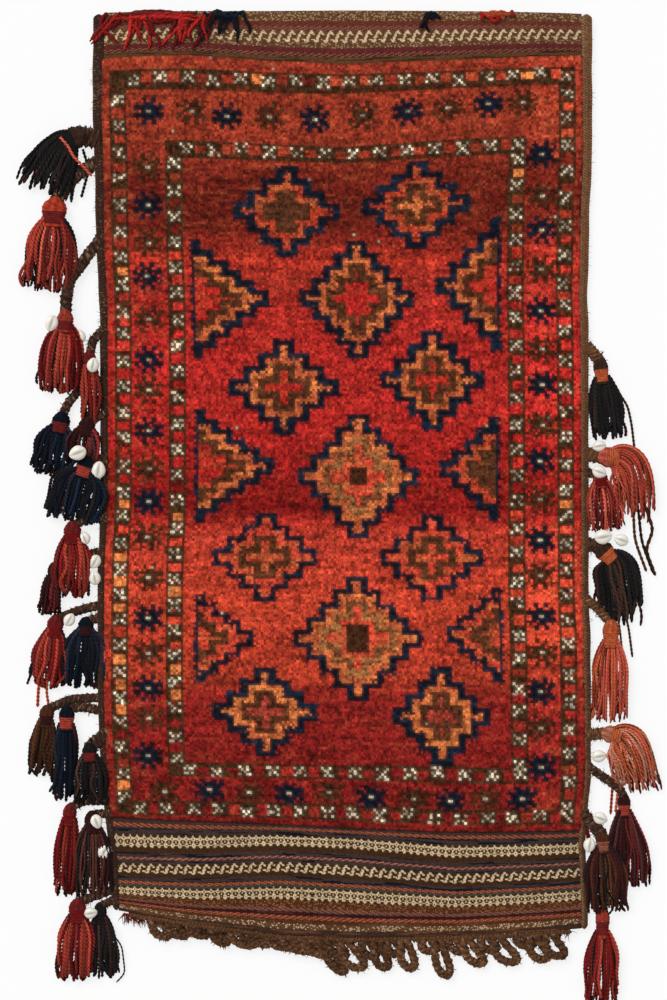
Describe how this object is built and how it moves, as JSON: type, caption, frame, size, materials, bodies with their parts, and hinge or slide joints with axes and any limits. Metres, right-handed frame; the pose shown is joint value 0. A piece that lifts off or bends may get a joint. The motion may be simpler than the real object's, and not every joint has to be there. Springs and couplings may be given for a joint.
{
  "type": "woven storage bag",
  "caption": "Long flat hand-woven bag, folded at one end and open at the other, with a knotted pile front, hair bindings, closure loops, side tassels and sewn shells.",
  "frame": {"origin": "middle of the back's flat underside", "axes": "+Y from the open mouth to the folded end, +Z out of the bag through the pile front, +X to the right when the pile is seen with the fold at the top"},
  "size_m": [0.6462, 1.0099, 0.0244],
  "materials": {
    "dark_goat_hair": "coarse dark brown goat hair, matte",
    "madder_red": "red wool pile and yarn, matte",
    "brick_orange": "orange wool yarn, matte",
    "indigo_navy": "dark blue wool yarn, matte",
    "dark_maroon": "dark purple-red wool yarn, matte",
    "black_wool": "black wool yarn, matte",
    "bleached_shell": "white sea shell, smooth with a soft shine"
  },
  "bodies": {
    "root": {"bag_cloth": "dark_goat_hair", "knotted_pile": "madder_red", "binding_left": "dark_goat_hair", "binding_right": "dark_goat_hair", "mouth_cord": "dark_goat_hair", "tassel_left_01": "black_wool", "tassel_left_02": "madder_red", "tassel_left_03": "madder_red", "tassel_left_04": "madder_red", "tassel_left_05": "indigo_navy", "tassel_left_06": "dark_maroon", "tassel_left_07": "indigo_navy", "tassel_left_08": "madder_red", "tassel_left_09": "dark_maroon", "tassel_left_10": "madder_red", "tassel_left_11": "indigo_navy", "tassel_left_12": "dark_maroon", "tassel_left_13": "indigo_navy", "tassel_left_14": "black_wool", "tassel_left_15": "madder_red", "tassel_left_16": "dark_maroon", "tassel_left_17": "madder_red", "tassel_left_18": "black_wool", "tassel_right_01": "black_wool", "tassel_right_02": "brick_orange", "tassel_right_03": "madder_red", "tassel_right_04": "black_wool", "tassel_right_05": "brick_orange", "tassel_right_06": "brick_orange", "tassel_right_07": "dark_maroon", "tassel_right_08": "dark_maroon", "tassel_right_09": "madder_red", "shell_left_01": "bleached_shell", "shell_left_02": "bleached_shell", "shell_left_03": "bleached_shell", "shell_left_04": "bleached_shell", "shell_left_05": "bleached_shell", "shell_left_06": "bleached_shell", "shell_left_07": "bleached_shell", "shell_left_08": "bleached_shell", "shell_left_09": "bleached_shell", "shell_left_10": "bleached_shell", "shell_left_11": "bleached_shell", "shell_left_12": "bleached_shell", "shell_right_01": "bleached_shell", "shell_right_02": "bleached_shell", "shell_right_03": "bleached_shell", "shell_right_04": "bleached_shell", "shell_right_05": "bleached_shell", "shell_right_06": "bleached_shell", "shell_right_07": "bleached_shell", "fold_tuft_red": "madder_red", "fold_tuft_navy": "indigo_navy", "fold_tuft_black": "black_wool", "fold_tuft_orange": "brick_orange"}
  },
  "joints": []
}
